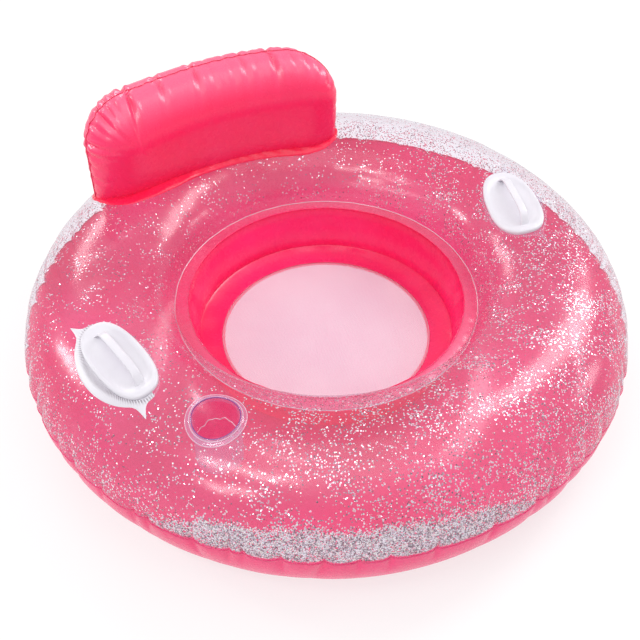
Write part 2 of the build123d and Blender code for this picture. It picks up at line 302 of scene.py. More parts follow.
def mat_pink(name, c1=(0.86, 0.038, 0.180), c2=(0.93, 0.056, 0.235), glow=0.22, rough=(0.20, 0.34), bump_s=0.25, painted_top_light=None):
    m, nt, out = nodes_of(name)
    co = obj_coords(nt)
    n1 = noise(nt, 5.0, 3, 0.55, co)
    n2 = noise(nt, 60.0, 4, 0.6, co)
    n3 = noise(nt, 900.0, 2, 0.5, co)
    col = ramp(nt, n1.outputs["Fac"], [(0.3, c1), (0.7, c2)])
    p = N(nt, "ShaderNodeBsdfPrincipled")
    if painted_top_light:                            # painted highlight: faces turned upwards get a paler pink, standing in for the light from above
        gm = N(nt, "ShaderNodeNewGeometry")
        sp = N(nt, "ShaderNodeSeparateXYZ")
        nt.links.new(gm.outputs["Normal"], sp.inputs[0])
        mr = N(nt, "ShaderNodeMapRange", interpolation_type="SMOOTHSTEP")
        mr.inputs["From Min"].default_value = 0.30
        mr.inputs["From Max"].default_value = 0.95
        nt.links.new(sp.outputs["Z"], mr.inputs["Value"])
        dk = N(nt, "ShaderNodeMix", data_type="RGBA")
        nt.links.new(mr.outputs["Result"], dk.inputs["Factor"])
        nt.links.new(col.outputs["Color"], dk.inputs[6])
        dk.inputs[7].default_value = (*painted_top_light, 1)
        nt.links.new(dk.outputs[2], p.inputs["Base Color"])
    else:
        nt.links.new(col.outputs["Color"], p.inputs["Base Color"])
    r = maprange(nt, n2.outputs["Fac"], *rough)
    nt.links.new(r.outputs["Result"], p.inputs["Roughness"])
    p.inputs["IOR"].default_value = 1.52
    p.inputs["Coat Weight"].default_value = 0.25
    p.inputs["Coat Roughness"].default_value = 0.12
    b = bump(nt, n3.outputs["Fac"], bump_s, 0.0002)
    b2 = bump(nt, n2.outputs["Fac"], 0.22, 0.0010)
    nt.links.new(b.outputs["Normal"], b2.inputs["Normal"])
    nt.links.new(b2.outputs["Normal"], p.inputs["Normal"])
    tr = N(nt, "ShaderNodeBsdfTranslucent")
    nt.links.new(col.outputs["Color"], tr.inputs["Color"])
    mix = N(nt, "ShaderNodeMixShader")
    mix.inputs["Fac"].default_value = glow
    nt.links.new(p.outputs[0], mix.inputs[1])
    nt.links.new(tr.outputs[0], mix.inputs[2])
    nt.links.new(mix.outputs[0], out.inputs["Surface"])
    return m


def mat_clear_film(name, tint=(0.955, 0.965, 0.995), rough=(0.16, 0.28), haze=0.060, hue=(0.80, 0.72, 0.90)):
    m, nt, out = nodes_of(name)
    co = obj_coords(nt)
    n2 = noise(nt, 26.0, 3, 0.6, co)
    n3 = noise(nt, 260.0, 3, 0.55, co)
    t = N(nt, "ShaderNodeBsdfTransparent")
    t.inputs["Color"].default_value = (*tint, 1)
    g = N(nt, "ShaderNodeBsdfGlossy")
    r = maprange(nt, n2.outputs["Fac"], *rough)
    nt.links.new(r.outputs["Result"], g.inputs["Roughness"])
    b = bump(nt, n2.outputs["Fac"], 0.30, 0.0012)
    b2 = bump(nt, n3.outputs["Fac"], 0.18, 0.00025)
    nt.links.new(b.outputs["Normal"], b2.inputs["Normal"])
    nt.links.new(b2.outputs["Normal"], g.inputs["Normal"])
    d = N(nt, "ShaderNodeBsdfDiffuse")
    d.inputs["Color"].default_value = (*hue, 1)
    fr = two_sided_fresnel(nt, b2.outputs["Normal"], 0.055)
    hz = N(nt, "ShaderNodeMixShader")
    hz.inputs["Fac"].default_value = haze
    nt.links.new(t.outputs[0], hz.inputs[1])
    nt.links.new(d.outputs[0], hz.inputs[2])
    mix = N(nt, "ShaderNodeMixShader")
    nt.links.new(fr, mix.inputs["Fac"])
    nt.links.new(hz.outputs[0], mix.inputs[1])
    nt.links.new(g.outputs[0], mix.inputs[2])
    nt.links.new(mix.outputs[0], out.inputs["Surface"])
    return m


def mat_clear_mould(name):
    """Clear moulding with the violet tint that thick clear PVC shows at its edges."""
    m, nt, out = nodes_of(name)
    co = obj_coords(nt)
    n2 = noise(nt, 40.0, 3, 0.6, co)
    t = N(nt, "ShaderNodeBsdfTransparent")
    t.inputs["Color"].default_value = (0.975, 0.93, 0.975, 1)
    g = N(nt, "ShaderNodeBsdfGlossy")
    r = maprange(nt, n2.outputs["Fac"], 0.04, 0.12)
    nt.links.new(r.outputs["Result"], g.inputs["Roughness"])
    b = bump(nt, n2.outputs["Fac"], 0.35, 0.0008)
    nt.links.new(b.outputs["Normal"], g.inputs["Normal"])
    d = N(nt, "ShaderNodeBsdfDiffuse")
    d.inputs["Color"].default_value = (0.80, 0.48, 0.74, 1)
    lw = N(nt, "ShaderNodeLayerWeight")
    lw.inputs["Blend"].default_value = 0.18
    edge = ramp(nt, lw.outputs["Facing"], [(0.20, (0.10, 0.10, 0.10)), (0.95, (0.60, 0.60, 0.60))])
    a = N(nt, "ShaderNodeMixShader")
    nt.links.new(edge.outputs["Color"], a.inputs["Fac"])
    nt.links.new(t.outputs[0], a.inputs[1])
    nt.links.new(d.outputs[0], a.inputs[2])
    fr = two_sided_fresnel(nt, b.outputs["Normal"], 0.05)
    mix = N(nt, "ShaderNodeMixShader")
    nt.links.new(fr, mix.inputs["Fac"])
    nt.links.new(a.outputs[0], mix.inputs[1])
    nt.links.new(g.outputs[0], mix.inputs[2])
    nt.links.new(mix.outputs[0], out.inputs["Surface"])
    return m


def mat_white(name, paint_groove_shade=False):
    m, nt, out = nodes_of(name)
    co = obj_coords(nt)
    n1 = noise(nt, 14.0, 3, 0.5, co)
    n2 = noise(nt, 420.0, 3, 0.55, co)
    col = ramp(nt, n1.outputs["Fac"], [(0.3, (0.64, 0.61, 0.67)), (0.7, (0.69, 0.67, 0.72))])
    p = N(nt, "ShaderNodeBsdfPrincipled")
    if paint_groove_shade:
        # painted shade: the grooves between the weld ribs are darkened in the base colour
        at = N(nt, "ShaderNodeAttribute", attribute_name="painted_groove_shade")
        dk = N(nt, "ShaderNodeMix", data_type="RGBA")
        nt.links.new(at.outputs["Fac"], dk.inputs["Factor"])
        nt.links.new(col.outputs["Color"], dk.inputs[6])
        dk.inputs[7].default_value = (0.26, 0.21, 0.25, 1)
        nt.links.new(dk.outputs[2], p.inputs["Base Color"])
    else:
        nt.links.new(col.outputs["Color"], p.inputs["Base Color"])
    r = maprange(nt, n1.outputs["Fac"], 0.30, 0.44)
    nt.links.new(r.outputs["Result"], p.inputs["Roughness"])
    p.inputs["Coat Weight"].default_value = 0.15
    p.inputs["Coat Roughness"].default_value = 0.2
    b = bump(nt, n2.outputs["Fac"], 0.25, 0.0002)
    nt.links.new(b.outputs["Normal"], p.inputs["Normal"])
    nt.links.new(p.outputs[0], out.inputs["Surface"])
    return m


def mat_glitter(name):
    m, nt, out = nodes_of(name)
    at = N(nt, "ShaderNodeAttribute", attribute_name="flake")
    # flake colours: silver, pink and gold tones of the glitter, plus a dark end that is painted shade for flakes
    # mirroring nothing bright
    col = ramp(nt, at.outputs["Fac"], [(0.0, (0.97, 0.92, 0.94)), (0.22, (0.98, 0.82, 0.88)), (0.36, (0.90, 0.90, 0.93)),
                                       (0.46, (0.95, 0.87, 0.74)), (0.58, (0.80, 0.66, 0.74)), (0.74, (0.44, 0.28, 0.34)), (1.0, (0.14, 0.06, 0.09))])
    p = N(nt, "ShaderNodeBsdfPrincipled")
    nt.links.new(col.outputs["Color"], p.inputs["Base Color"])
    p.inputs["Metallic"].default_value = 0.70
    r = maprange(nt, at.outputs["Fac"], 0.22, 0.42)
    nt.links.new(r.outputs["Result"], p.inputs["Roughness"])
    nt.links.new(p.outputs[0], out.inputs["Surface"])
    return m


def mat_mesh(name):
    """Knitted mesh: crossing threads with open cells between them."""
    m, nt, out = nodes_of(name)
    co = obj_coords(nt)

    def wave(angle, scale):
        mp = N(nt, "ShaderNodeMapping")
        mp.inputs["Rotation"].default_value = (0, 0, angle)
        nt.links.new(co, mp.inputs["Vector"])
        w = N(nt, "ShaderNodeTexWave", wave_type="BANDS", bands_direction="X", wave_profile="SIN")
        w.inputs["Scale"].default_value = scale
        w.inputs["Distortion"].default_value = 0.0
        nt.links.new(mp.outputs[0], w.inputs["Vector"])
        return w
    w1, w2 = wave(math.radians(38), 110.0), wave(math.radians(-38), 110.0)
    mx = N(nt, "ShaderNodeMath", operation="MAXIMUM")
    nt.links.new(w1.outputs["Fac"], mx.inputs[0])
    nt.links.new(w2.outputs["Fac"], mx.inputs[1])
    cut = N(nt, "ShaderNodeMapRange", interpolation_type="SMOOTHSTEP")
    cut.inputs["From Min"].default_value = 0.50
    cut.inputs["From Max"].default_value = 0.82
    nt.links.new(mx.outputs[0], cut.inputs["Value"])
    n1 = noise(nt, 9.0, 2, 0.5, co)
    col = ramp(nt, n1.outputs["Fac"], [(0.3, (0.86, 0.57, 0.71)), (0.7, (0.90, 0.65, 0.77))])
    p = N(nt, "ShaderNodeBsdfPrincipled")
    nt.links.new(col.outputs["Color"], p.inputs["Base Color"])
    p.inputs["Roughness"].default_value = 0.6
    p.inputs["Sheen Weight"].default_value = 0.2
    b = bump(nt, mx.outputs[0], 0.5, 0.0004)
    nt.links.new(b.outputs["Normal"], p.inputs["Normal"])
    tr = N(nt, "ShaderNodeBsdfTranslucent")
    nt.links.new(col.outputs["Color"], tr.inputs["Color"])
    th = N(nt, "ShaderNodeMixShader")
    th.inputs["Fac"].default_value = 0.45
    nt.links.new(p.outputs[0], th.inputs[1])
    nt.links.new(tr.outputs[0], th.inputs[2])
    t = N(nt, "ShaderNodeBsdfTransparent")
    mix = N(nt, "ShaderNodeMixShader")
    nt.links.new(cut.outputs["Result"], mix.inputs["Fac"])
    nt.links.new(t.outputs[0], mix.inputs[1])
    nt.links.new(th.outputs[0], mix.inputs[2])
    nt.links.new(mix.outputs[0], out.inputs["Surface"])
    return m


M_CLEAR = mat_clear_film("clear_vinyl_film")
M_PINK = mat_pink("pink_vinyl_film")
M_PINK_WELL = mat_pink("pink_vinyl_well", (0.95, 0.016, 0.135), (0.99, 0.030, 0.190))
# the backrest gets a painted highlight: a paler pink on its upward faces
M_PINK_REST = mat_pink("pink_vinyl_backrest", (0.96, 0.022, 0.125), (0.99, 0.038, 0.180), painted_top_light=(0.99, 0.150, 0.300))
M_PINK_FOOT = mat_pink("pink_vinyl_foot_strip", (0.90, 0.010, 0.070), (0.95, 0.022, 0.110))
M_PINK_WELD = mat_pink("pink_vinyl_weld", (0.62, 0.006, 0.050), (0.74, 0.010, 0.070), glow=0.05)
M_GLIT = mat_glitter("silver_glitter")
M_CLEAR_PATCH = mat_clear_film("clear_weld_patch", haze=0.10)
M_MESH = mat_mesh("seat_mesh_fabric")
M_WHITE = mat_white("white_soft_vinyl")
M_WHITE_RIB = mat_white("white_ribbed_weld", paint_groove_shade=True)
M_LINE = mat_clear_film("clear_weld_line", tint=(1, 1, 1), rough=(0.15, 0.25), haze=0.40, hue=(0.95, 0.80, 0.88))
M_LIP = mat_clear_film("clear_moulded_lip", tint=(0.93, 0.88, 0.96), rough=(0.08, 0.14), haze=0.17, hue=(0.84, 0.62, 0.88))
M_LIP_EDGE = mat_clear_film("violet_lip_edge", tint=(0.8, 0.6, 0.9), rough=(0.08, 0.14), haze=0.85, hue=(0.24, 0.05, 0.26))
M_MOULD = mat_clear_mould("clear_moulded_vinyl")


def finish_piece(ob, mat, body, replaces=()):
    ob.data.materials.clear()
    ob.data.materials.append(mat)
    if body:
        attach(ob, body)
    if replaces:
        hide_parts(*replaces)
    return ob


# ------------------------------------------------------------------ ring: clear upper film
CUP_R, CUP_A = 0.446, math.radians(-144.0)
CUP = np.array([CUP_R * math.cos(CUP_A), CUP_R * math.sin(CUP_A)])
CUP_TOP = float(surf_z(CUP_R))
NU = 1200
s_rows = np.concatenate([np.arange(0, 0.060, 0.0026), np.arange(0.060, S_TOP - 0.030, 0.0075),
                         np.linspace(S_TOP - 0.030, S_TOP, 9)])
prof_top = resample(dense_top, s_rows)
nr_top = normals2(prof_top)
nr_top[0] = (1, 0)
T_, S_ = np.meshgrid(np.arange(NU) * TAU / NU, s_rows, indexing="ij")
d_top = top_disp(T_, S_)
r_ = prof_top[None, :, 0] + nr_top[None, :, 0] * d_top
z_ = prof_top[None, :, 1] + nr_top[None, :, 1] * d_top
# flange of the inner weld
fl = np.linspace(0, 1, 7)[1:]
th_ = np.arange(NU) * TAU / NU
fl_wave = 0.0006 * smooth_noise(th_[:, None], fl[None, :] * 0.0, 8, (30, 90), (0, 1)) * (0.3 + 0.7 * np.sin(fl * math.pi))[None, :]
edge_r, edge_z = r_[:, -1:], z_[:, -1:]
rim_wobble = 0.0007 * smooth_noise(th_[:, None], 0 * fl[None, :1], 9, (10, 44), (0, 1))
r_f = edge_r + (RIM_R + rim_wobble - edge_r) * fl[None, :]
z_f = edge_z + (RIM_Z - edge_z) * fl[None, :] + 0.0012 * np.sin(fl * math.pi)[None, :] + fl_wave
r_ = np.concatenate([r_, r_f], 1)
z_ = np.concatenate([z_, z_f], 1)
P_top = np.stack([r_ * np.cos(th_)[:, None], r_ * np.sin(th_)[:, None], z_], -1)
nv = P_top.shape[1]
V = P_top.reshape(-1, 3)
F = grid_faces(NU, nv, close_u=True)


def cut_hole(V, F, centre, axis, radius, depth=0.05):
    """Opens a round hole in the film and puts its edge on the circle."""
    axis = np.asarray(axis, float)
    rel = V - np.asarray(centre, float)
    along = rel @ axis
    flat = rel - along[:, None] * axis
    dist = np.linalg.norm(flat, axis=1)
    inside = (dist < radius) & (np.abs(along) < depth)
    F = F[~inside[F].all(1)]
    used = np.zeros(len(V), bool)
    used[F.ravel()] = True
    mv = inside & used
    V = V.copy()
    V[mv] += flat[mv] / dist[mv, None] * (radius - dist[mv])[:, None]
    return V, F


V, F = cut_hole(V, F, (CUP[0], CUP[1], CUP_TOP), (0, 0, 1), 0.0412)
vf = math.radians(40.0)
RV = np.array([0, R_CR + 0.160 * math.cos(vf), Z_SEAM + 0.145 * math.sin(vf)])
RVN = np.array([0, math.cos(vf) / 0.160, math.sin(vf) / 0.145])
RVN /= np.linalg.norm(RVN)
V, F = cut_hole(V, F, RV, RVN, 0.0096, 0.02)
keep = np.unique(F)
remap = -np.ones(len(V), int)
remap[keep] = np.arange(len(keep))
ring_top = new_mesh("ring_top_film", V[keep], remap[F])
finish_piece(ring_top, M_CLEAR, "ring", ["ring_top_skin"])

# ------------------------------------------------------------------ ring: pink lower film
s_b = np.concatenate([np.arange(0, 0.060, 0.003), np.arange(0.060, 0.20, 0.008), np.linspace(0.20, S_BOT, 26)])
prof_b = resample(dense_bot, s_b)
nr_b = -normals2(prof_b)
nr_b[0] = (1, 0)
P_b, F_b = revolve_mesh("b", prof_b, NU, bot_disp, s_b, nrm=nr_b, flip=True)
P_b[..., 2] = np.maximum(P_b[..., 2], 0.0)
ring_bot = new_mesh("ring_bottom_film", P_b.reshape(-1, 3), F_b)
finish_piece(ring_bot, M_PINK, "ring", ["ring_bottom_skin"])

# weld line of the two films: a narrow raised bead that follows every pucker
NB = NU
seam_c = P_top[:, 0, :]
k = np.arange(6) * TAU / 6
er = np.stack([np.cos(th_), np.sin(th_), 0 * th_], -1)
bead = seam_c[:, None, :] + 0.0011 * (np.cos(k)[None, :, None] * er[:, None, :] * 0.8
                                      + np.sin(k)[None, :, None] * np.array([0, 0, 1.9])[None, None, :])
seam = new_mesh("ring_outer_weld", bead.reshape(-1, 3), grid_faces(NB, 6, close_u=True, close_v=True))
finish_piece(seam, M_PINK, "ring")

# ------------------------------------------------------------------ seat well: pink wall with its flange, skirt, mesh
wall_pts = np.array([(CRE_R + 0.0018, CRE_Z - 0.0010), (0.290, 0.1772), (0.281, 0.1790), (RIM_R + 0.0008, RIM_Z - 0.0006), (RIM_R - 0.0002, RIM_Z - 0.0022),
                     (RIM_R + 0.0008, 0.1755), (0.2716, 0.1690), (0.2700, 0.1600), (0.2660, 0.1480), (0.2612, 0.1350), (0.2570, 0.1200), (0.2550, 0.1080), (0.2552, 0.0970), (WELL_R, WELL_Z)])
wl = arclen(wall_pts)
ws = np.linspace(0, wl[-1], 60)


def catmull(pts, s):
    L = arclen(pts)
    out = []
    for v in s:
        i = min(max(int(np.searchsorted(L, v) - 1), 0), len(pts) - 2)
        t = (v - L[i]) / (L[i + 1] - L[i])
        p0, p1, p2, p3 = pts[max(i - 1, 0)], pts[i], pts[i + 1], pts[min(i + 2, len(pts) - 1)]
        out.append(0.5 * ((2 * p1) + (-p0 + p2) * t + (2 * p0 - 5 * p1 + 4 * p2 - p3) * t ** 2 + (-p0 + 3 * p1 - 3 * p2 + p3) * t ** 3))
    return np.array(out)


prof_w = catmull(wall_pts, ws)


def wall_disp(theta, s):
    mid = np.clip((s - 0.03) / 0.03, 0, 1) * np.clip((wl[-1] - s) / 0.02, 0, 1)
    return 0.0009 * smooth_noise(theta, s, 21, (3, 12), (10, 30)) * mid + 0.0004 * smooth_noise(theta, s, 22, (18, 50), (10, 60)) * mid


P_w, F_w = revolve_mesh("w", prof_w, 720, wall_disp, ws)
wall = new_mesh("seat_well_wall", P_w.reshape(-1, 3), F_w)
finish_piece(wall, M_PINK_WELL, "ring", ["ring_inner_wall"])

# rim bead
kk = np.arange(8) * TAU / 8
tr_ = np.arange(720) * TAU / 720
rimc = RIM_R + 0.0007 * smooth_noise(tr_, 0 * tr_, 9, (10, 44), (0, 1)) - 0.0002
rb = np.stack([(rimc[:, None] + 0.0010 * np.cos(kk)) * np.cos(tr_)[:, None], (rimc[:, None] + 0.0010 * np.cos(kk)) * np.sin(tr_)[:, None],
               RIM_Z - 0.0004 + 0.0013 * np.sin(kk) + 0 * rimc[:, None]], -1)
rim = new_mesh("seat_rim_weld", rb.reshape(-1, 3), grid_faces(720, 8, close_u=True, close_v=True))
finish_piece(rim, M_PINK_WELL, "ring")

lc = CRE_R + 0.0006 + 0.0006 * smooth_noise(tr_, 0 * tr_, 10, (10, 44), (0, 1))
lb = np.stack([(lc[:, None] + 0.0009 * np.cos(kk)) * np.cos(tr_)[:, None], (lc[:, None] + 0.0009 * np.cos(kk)) * np.sin(tr_)[:, None],
               CRE_Z + 0.0006 + 0.0009 * np.sin(kk) + 0 * lc[:, None]], -1)
iwl = new_mesh("ring_inner_weld_line", lb.reshape(-1, 3), grid_faces(720, 8, close_u=True, close_v=True))
finish_piece(iwl, M_LINE, "ring")

# skirt: from the wall's foot to the mesh, with its hem
sk = np.array([(WELL_R + 0.0004, WELL_Z + 0.0004), (0.2560, 0.0860), (0.2500, 0.0836), (0.2400, 0.0802), (0.2300, 0.0779), (0.2220, 0.0768), (0.2150, 0.0765),
               (0.2132, 0.0763), (0.2126, 0.0757), (0.2132, 0.0752), (0.2220, 0.0753), (0.2300, 0.0764), (0.2400, 0.0787), (0.2500, 0.0822), (0.2560, 0.0846), (WELL_R, 0.0856)])
ss = np.linspace(0, arclen(sk)[-1], 64)
P_s, F_s = revolve_mesh("s", catmull(sk, ss), 480)
ts = np.arange(480) * TAU / 480
P_s[..., 2] += (0.0007 * smooth_noise(ts[:, None], 0 * ts[:, None], 31, (5, 22), (0, 1))) * np.clip((np.hypot(P_s[..., 0], P_s[..., 1]) - 0.213) / 0.02, 0, 1) * np.clip((0.2570 - np.hypot(P_s[..., 0], P_s[..., 1])) / 0.01, 0, 1)
skirt = new_mesh("seat_border", P_s.reshape(-1, 3), F_s)
finish_piece(skirt, M_PINK_WELL, "ring", ["seat_skirt"])

# mesh disc, very slightly dished, a closed sheet 0.7 mm thick
nr_m, na_m = 60, 240
rr = np.linspace(0.0015, 0.2228, nr_m)
ta = np.arange(na_m) * TAU / na_m
dish_z = 0.0748 - 0.0011 * (1 - (rr / 0.2228) ** 2)
wob = 0.00025 * smooth_noise(ta[:, None], rr[None, :] * 4, 41, (2, 8), (2, 9)) * (1 - (rr / 0.2228) ** 6)[None, :]
zt = dish_z[None, :] + wob
up = np.stack([rr[None, :] * np.cos(ta)[:, None], rr[None, :] * np.sin(ta)[:, None], zt], -1).reshape(-1, 3)
dn = up - np.array([0, 0, 0.0006])
Fu = grid_faces(na_m, nr_m, close_u=True, flip=False)
Fd = grid_faces(na_m, nr_m, close_u=True, flip=True) + len(up)
rimq = [(i * nr_m + nr_m - 1, ((i + 1) % na_m) * nr_m + nr_m - 1, ((i + 1) % na_m) * nr_m + nr_m - 1 + len(up), i * nr_m + nr_m - 1 + len(up)) for i in range(na_m)]
Vm = np.vstack([up, dn, [[0, 0, float(zt[:, 0].mean())], [0, 0, float(zt[:, 0].mean()) - 0.0006]]])
c0, c1 = len(Vm) - 2, len(Vm) - 1
Fm = [tuple(q) for q in Fu] + [tuple(q) for q in Fd] + rimq
Fm += [(c0, ((i + 1) % na_m) * nr_m, i * nr_m) for i in range(na_m)]
Fm += [(c1, i * nr_m + len(up), ((i + 1) % na_m) * nr_m + len(up)) for i in range(na_m)]
seat = new_mesh("seat_mesh_floor", Vm, Fm)
finish_piece(seat, M_MESH, "ring", ["seat_mesh"])

# ------------------------------------------------------------------ glitter
def flakes(theta, s, which, size, tilt, g):
    """Hexagonal flakes against the inside of a film, at angle theta and distance s from the outer weld."""
    if which == "top":
        pr = resample(dense_top, s)
        eps = 0.002
        pa, pb = resample(dense_top, np.clip(s - eps, 0, S_TOP)), resample(dense_top, np.clip(s + eps, 0, S_TOP))
        d = top_disp_fast(theta, s)
        sgn = 1.0
    else:
        pr = resample(dense_bot, s)
        eps = 0.002
        pa, pb = resample(dense_bot, np.clip(s - eps, 0, S_BOT)), resample(dense_bot, np.clip(s + eps, 0, S_BOT))
        d = bot_disp_fast(theta, s)
        sgn = -1.0
    t = pb - pa
    t /= np.linalg.norm(t, axis=1, keepdims=True)
    n2 = np.stack([t[:, 1], -t[:, 0]], 1) * sgn
    depth = 0.0009 + g.uniform(0, 0.0012, len(s)) + size * 0.5 * np.sin(tilt)
    r = pr[:, 0] + n2[:, 0] * (d - depth)
    z = pr[:, 1] + n2[:, 1] * (d - depth)
    c, sn = np.cos(theta), np.sin(theta)
    P = np.stack([r * c, r * sn, z], 1)
    nn = np.stack([n2[:, 0] * c, n2[:, 0] * sn, n2[:, 1]], 1)
    tt = np.stack([t[:, 0] * c, t[:, 0] * sn, t[:, 1]], 1)
    bb = np.cross(nn, tt)
    az = g.uniform(0, TAU, len(s))
    ax = tt * np.cos(az)[:, None] + bb * np.sin(az)[:, None]
    ay = np.cross(nn, ax)
    n3 = nn * np.cos(tilt)[:, None] + ay * np.sin(tilt)[:, None]
    ay = np.cross(n3, ax)
    return P, ax, ay, size


_puck_grid = {}


def _table(which):
    """The film's displacement on a fine grid, read by interpolation."""
    if which not in _puck_grid:
        S = S_TOP if which == "top" else S_BOT
        tt = np.arange(1440) * TAU / 1440
        sg = np.linspace(0, S, 200)
        T, SS = np.meshgrid(tt, sg, indexing="ij")
        _puck_grid[which] = (top_disp if which == "top" else bot_disp)(T, SS), S
    return _puck_grid[which]


def _lookup(which, theta, s):
    G, S = _table(which)
    i = (theta % TAU) / TAU * G.shape[0]
    j = np.clip(s / S, 0, 1) * (G.shape[1] - 1.001)
    i0, j0 = np.floor(i).astype(int) % G.shape[0], np.floor(j).astype(int)
    fi, fj = i - np.floor(i), j - j0
    i1 = (i0 + 1) % G.shape[0]
    return (G[i0, j0] * (1 - fi) * (1 - fj) + G[i1, j0] * fi * (1 - fj) + G[i0, j0 + 1] * (1 - fi) * fj + G[i1, j0 + 1] * fi * fj)


def top_disp_fast(theta, s):
    return _lookup("top", theta, s)


def bot_disp_fast(theta, s):
    return _lookup("bot", theta, s)


def clumps(theta, s, seed):
    g = np.random.default_rng(seed)
    out = np.zeros_like(theta)
    for _ in range(26):
        kt = g.integers(3, 34)
        ks = g.uniform(8, 75)
        out += np.sin(kt * theta + ks * s * g.choice([-1, 1]) + g.uniform(0, TAU))
    return out / math.sqrt(26)


def bumpf(theta, centre, width):
    return np.exp(-(wrap(theta - math.radians(centre)) / math.radians(width)) ** 2)


g = np.random.default_rng(2024)
S_CREST = arclen(dense_top)[499]

# upper film: rejection sampling of a given density
n_try = 190000
th_c = g.uniform(0, TAU, n_try)
s_c = g.uniform(0.002, S_TOP - 0.006, n_try)
rad = resample(dense_top, s_c)[:, 0] / R_OUT
side = 0.16 + 0.95 * bumpf(th_c, 300, 62) + 0.55 * bumpf(th_c, 0, 40) + 0.50 * bumpf(th_c, 245, 34) + 0.16 * bumpf(th_c, 90, 60) + 0.20 * bumpf(th_c, 170, 40)
cl = clumps(th_c, s_c, 5)
dens = rad * side * np.clip(0.50 + 0.42 * cl, 0.04, 1.4) * 0.42
dens += (0.16 + 0.42 * bumpf(th_c, 88, 44) + 0.30 * bumpf(th_c, 300, 50) + 0.25 * bumpf(th_c, 180, 40)) * rad * np.exp(-(s_c / 0.062) ** 3)
dens *= 1 - 0.75 * np.exp(-((S_TOP - s_c) / 0.012) ** 2)
ok = g.uniform(0, 1, n_try) < dens
th_f, s_f = th_c[ok], s_c[ok]
# the heap that has slid down to the front edge: nearly covers the film, with a sharp upper border
n_h = 32000
th_h = math.radians(243) + g.uniform(-0.62, 0.62, n_h)
s_h = g.uniform(0.004, 0.088, n_h)
dth = (th_h - math.radians(243)) / 0.62
top_h = 0.066 * (1 - np.abs(dth) ** 3.2) + 0.003 * np.sin(th_h * 23 + 1) + 0.002 * np.sin(th_h * 61)
ph_h = np.exp(-(np.clip(s_h / np.clip(top_h, 0.004, 1), 0, 9)) ** 9) * (0.92 + 0.12 * clumps(th_h, s_h, 21)) * np.clip(1.15 - np.abs(dth) ** 3, 0, 1)
ok_h = g.uniform(0, 1, n_h) < ph_h
n_loose = len(s_f)
th_f, s_f = np.concatenate([th_f, th_h[ok_h]]), np.concatenate([s_f, s_h[ok_h]])
sz = g.uniform(0.0010, 0.0017, len(s_f))
tl = np.abs(g.normal(0, 0.20, len(s_f))).clip(0, 0.9)
A = flakes(th_f, s_f, "top", sz, tl, g)

# lower film: what has settled
n_try = 60000
th_c = g.uniform(0, TAU, n_try)
s_c = g.uniform(0.002, S_BOT - 0.02, n_try)
rad = resample(dense_bot, s_c)[:, 0] / R_OUT
cl = clumps(th_c, s_c, 9)
dens = rad * (0.10 + 0.55 * bumpf(th_c, 290, 70) + 0.25 * bumpf(th_c, 240, 40)) * np.clip(0.45 + 0.45 * cl, 0.03, 1.3) * 0.5
ok = g.uniform(0, 1, n_try) < dens
B = flakes(th_c[ok], s_c[ok], "bot", g.uniform(0.0008, 0.0014, ok.sum()), np.abs(g.normal(0, 0.25, ok.sum())).clip(0, 1.0), g)

P = np.vstack([A[0], B[0]])
AX = np.vstack([A[1], B[1]])
AY = np.vstack([A[2], B[2]])
SZ = np.concatenate([A[3], B[3]])
# none in the way of the drink holder
near = np.hypot(P[:, 0] - CUP[0], P[:, 1] - CUP[1]) < 0.054
P, AX, AY, SZ = P[~near], AX[~near], AY[~near], SZ[~near]
nF = len(P)
hexa = np.arange(6) * TAU / 6
VV = (P[:, None, :] + SZ[:, None, None] * (np.cos(hexa)[None, :, None] * AX[:, None, :] + np.sin(hexa)[None, :, None] * AY[:, None, :])).reshape(-1, 3)
me = bpy.data.meshes.new("glitter")
me.vertices.add(len(VV))
me.vertices.foreach_set("co", VV.astype(np.float32).ravel())
me.loops.add(nF * 6)
me.loops.foreach_set("vertex_index", np.arange(nF * 6, dtype=np.int32))
me.polygons.add(nF)
me.polygons.foreach_set("loop_start", np.arange(nF, dtype=np.int32) * 6)
me.update(calc_edges=True)
me.validate()
a = me.attributes.new("flake", "FLOAT", "POINT")
a.data.foreach_set("value", np.repeat(g.uniform(0, 1, nF), 6).astype(np.float32))
glit = bpy.data.objects.new("glitter_flakes_loose", me)
bpy.context.scene.collection.objects.link(glit)
finish_piece(glit, M_GLIT, "ring", ["glitter_flakes"])
print("flakes", nF)

